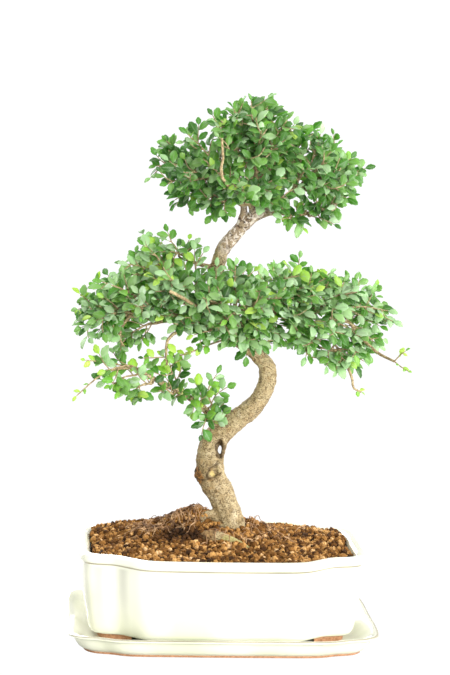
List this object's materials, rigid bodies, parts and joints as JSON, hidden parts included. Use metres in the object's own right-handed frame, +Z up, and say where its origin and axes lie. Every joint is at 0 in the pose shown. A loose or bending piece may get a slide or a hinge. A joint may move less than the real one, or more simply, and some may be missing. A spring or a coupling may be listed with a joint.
{
  "type": "chinese elm bonsai in a pot",
  "caption": "Small-leaved elm bonsai with an S-curved trunk and two leafy tiers, in a glazed rectangular pot on a matching drip tray.",
  "frame": {"origin": "middle of the drip tray's underside, on the surface it stands on", "axes": "+Z up, the tree's front and the pot's long side face -Y, +X to the right seen from the front"},
  "size_m": [0.2503, 0.1816, 0.4062],
  "materials": {
    "cream_glaze": "gloss",
    "clay_grains": "matte",
    "bark": "matte",
    "leaf": "satin",
    "young_leaf": "satin",
    "black_mesh": "matte"
  },
  "bodies": {
    "root": {"pot": "cream_glaze", "drip_tray": "cream_glaze", "drain_screen_left": "black_mesh", "drain_screen_right": "black_mesh", "trunk": "bark", "soil": "clay_grains", "spray_crown_left_1": "leaf", "spray_crown_left_2": "leaf", "spray_crown_left_3": "leaf", "spray_crown_left_4": "leaf", "spray_crown_left_5": "leaf", "spray_crown_top_1": "leaf", "spray_crown_top_2": "leaf", "spray_crown_top_3": "leaf", "spray_crown_top_4": "leaf", "spray_crown_top_5": "leaf", "spray_crown_right_1": "leaf", "spray_crown_right_2": "leaf", "spray_crown_right_3": "leaf", "spray_crown_right_4": "leaf", "spray_crown_right_5": "leaf", "spray_crown_low_1": "leaf", "spray_crown_low_2": "leaf", "spray_crown_low_3": "leaf", "spray_crown_front_1": "leaf", "spray_crown_front_2": "leaf", "spray_crown_front_3": "leaf", "spray_crown_back_1": "leaf", "spray_crown_back_2": "leaf", "spray_left_low_1": "leaf", "spray_left_low_2": "leaf", "spray_left_low_3": "leaf", "spray_left_low_4": "leaf", "spray_left_low_5": "leaf", "spray_left_low_6": "leaf", "spray_left_high_1": "leaf", "spray_left_high_2": "leaf", "spray_left_high_3": "leaf", "spray_left_twig_1": "leaf", "spray_left_back_1": "leaf", "spray_left_back_2": "leaf", "spray_right_low_1": "leaf", "spray_right_low_2": "leaf", "spray_right_low_3": "leaf", "spray_right_low_4": "leaf", "spray_right_low_5": "leaf", "spray_right_drop_1": "leaf", "spray_right_drop_2": "leaf", "spray_right_drop_3": "leaf", "spray_right_high_1": "leaf", "spray_right_high_2": "leaf", "spray_right_back_1": "leaf", "spray_front_1": "leaf", "spray_front_2": "leaf", "spray_front_3": "leaf", "spray_lowest_1": "young_leaf", "spray_lowest_2": "young_leaf", "spray_lowest_3": "young_leaf", "spray_lowest_4": "young_leaf", "spray_lowest_5": "young_leaf"}
  },
  "joints": []
}
